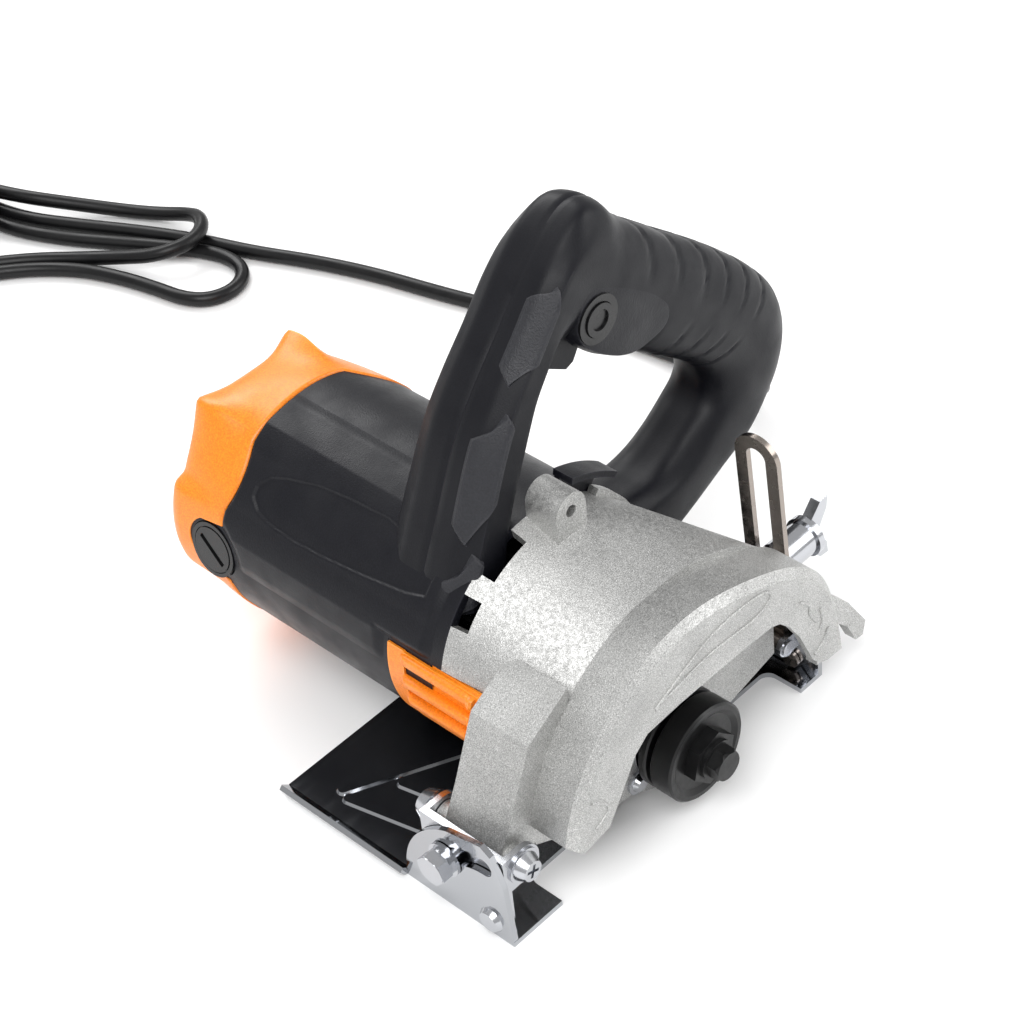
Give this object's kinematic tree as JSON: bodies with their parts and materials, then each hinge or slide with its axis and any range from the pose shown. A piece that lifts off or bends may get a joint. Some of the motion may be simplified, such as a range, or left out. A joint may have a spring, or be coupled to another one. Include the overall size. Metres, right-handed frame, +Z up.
{
  "type": "trim saw",
  "caption": "Corded hand-held saw for stone and tile: motor barrel, loop handle, cast blade guard and a tilting base plate with depth guide; blade spindle left bare.",
  "frame": {"origin": "centre of the base plate's underside", "axes": "+X to the rear of the saw, +Y to the motor side, +Z up; the blade side faces -Y"},
  "size_m": [0.2557, 0.5165, 0.1826],
  "materials": {
    "cast_aluminium": "sand-textured casting",
    "polished_steel": "mirror",
    "bright_zinc": "bright zinc plate",
    "dark_nickel": "satin",
    "black_oxide": "matte",
    "black_plastic": "fine grain",
    "soft_grip": "matte",
    "gloss_black": "satin",
    "orange_plastic": "satin",
    "cord_rubber": "satin",
    "bearing_steel": "ground",
    "gear_steel": "machined",
    "lamination_steel": "stacked sheet",
    "copper": "varnished wire",
    "brass_parts": "plain",
    "carbon": "matte"
  },
  "bodies": {
    "base": {"base_plate": "polished_steel", "front_bevel_rivet": "bright_zinc", "rear_bevel_rivet": "dark_nickel"},
    "tilt_frame": {"front_tilt_bracket": "bright_zinc", "bevel_lock_bolt": "bright_zinc", "bevel_lock_washers": "bright_zinc", "depth_pivot_screw": "bright_zinc", "depth_pivot_nut": "bright_zinc", "rear_tilt_bracket": "bright_zinc", "guide_foot_pin": "bright_zinc"},
    "guide": {"depth_guide": "dark_nickel"},
    "saw_body": {"gear_housing": "cast_aluminium", "bearing_retainer": "bright_zinc", "retainer_screws": "bright_zinc", "bearing_plate": "cast_aluminium", "front_armature_bearing": "bearing_steel", "tail_armature_bearing": "bearing_steel", "main_spindle_bearing": "bearing_steel", "rear_spindle_bearing": "bearing_steel", "housing_screw": "bright_zinc", "motor_housing": "black_plastic", "vent_insert": "orange_plastic", "motor_end_cap": "orange_plastic", "front_brush_cap": "gloss_black", "rear_brush_cap": "gloss_black", "brush_holders": "brass_parts", "carbon_brushes": "carbon", "brush_springs": "gear_steel", "stator_core": "lamination_steel", "field_coils": "copper", "handle_blade_side": "soft_grip", "handle_motor_side": "soft_grip", "handle_screws": "bright_zinc", "switch_module": "gloss_black", "lock_bezel": "gloss_black", "strain_relief": "cord_rubber", "power_cord": "cord_rubber", "cord_hank": "cord_rubber", "cord_tie": "cord_rubber", "mains_plug": "gloss_black"},
    "armature": {"armature_shaft": "gear_steel", "armature_core": "lamination_steel", "armature_windings": "copper", "commutator": "copper", "cooling_fan": "gloss_black", "pinion": "gear_steel"},
    "spindle_group": {"spindle": "gear_steel", "spindle_key": "gear_steel", "gear_wheel": "gear_steel", "inner_flange": "black_oxide"},
    "blade_clamp": {"outer_flange": "black_oxide", "flange_washer": "black_oxide", "arbor_bolt": "black_oxide"},
    "trigger_key": {"trigger": "black_plastic"},
    "lock_key": {"lock_button": "gloss_black"},
    "wing": {"wing_bolt": "bright_zinc"}
  },
  "joints": [
    {"name": "bevel_tilt", "type": "hinge", "parent": "base", "child": "tilt_frame", "pos_m": [0, -0.042, 0.0063], "axis": [1, 0, 0], "range_deg": [0, 45]},
    {"name": "depth_pivot", "type": "hinge", "parent": "tilt_frame", "child": "saw_body", "pos_m": [-0.064, -0.03, 0.026], "axis": [0, -1, 0], "range_deg": [0, 20]},
    {"name": "guide_rock", "type": "hinge", "parent": "tilt_frame", "child": "guide", "pos_m": [0.066, -0.0325, 0.0145], "axis": [0, -1, 0], "range_deg": [0, 7.6]},
    {"name": "armature_spin", "type": "hinge", "parent": "saw_body", "child": "armature", "pos_m": [-0.0026, 0.05, 0.04866], "axis": [0, 1, 0], "continuous": true},
    {"name": "spindle_spin", "type": "hinge", "parent": "saw_body", "child": "spindle_group", "pos_m": [0.0073, -0.03, 0.023], "axis": [0, 1, 0], "continuous": true},
    {"name": "blade_clamp_slide", "type": "slide", "parent": "spindle_group", "child": "blade_clamp", "axis": [0, -1, 0], "range_m": [0, 0.045]},
    {"name": "trigger_press", "type": "slide", "parent": "saw_body", "child": "trigger_key", "axis": [0.5446, 0, 0.8387], "range_m": [0, 0.004], "stiffness_N_per_m": 1500, "springref_m": -0.002},
    {"name": "lock_press", "type": "slide", "parent": "saw_body", "child": "lock_key", "axis": [0, 1, 0], "range_m": [0, 0.003], "stiffness_N_per_m": 800, "springref_m": -0.0015},
    {"name": "wing_turn", "type": "hinge", "parent": "saw_body", "child": "wing", "pos_m": [0.08, -0.0325, 0.041], "axis": [1, 0, 0], "range_deg": [-360, 360]}
  ],
  "couplings": [
    {"joint": "guide_rock", "follows": "depth_pivot", "ratio": 0.37},
    {"joint": "spindle_spin", "follows": "armature_spin", "ratio": -0.41935}
  ]
}
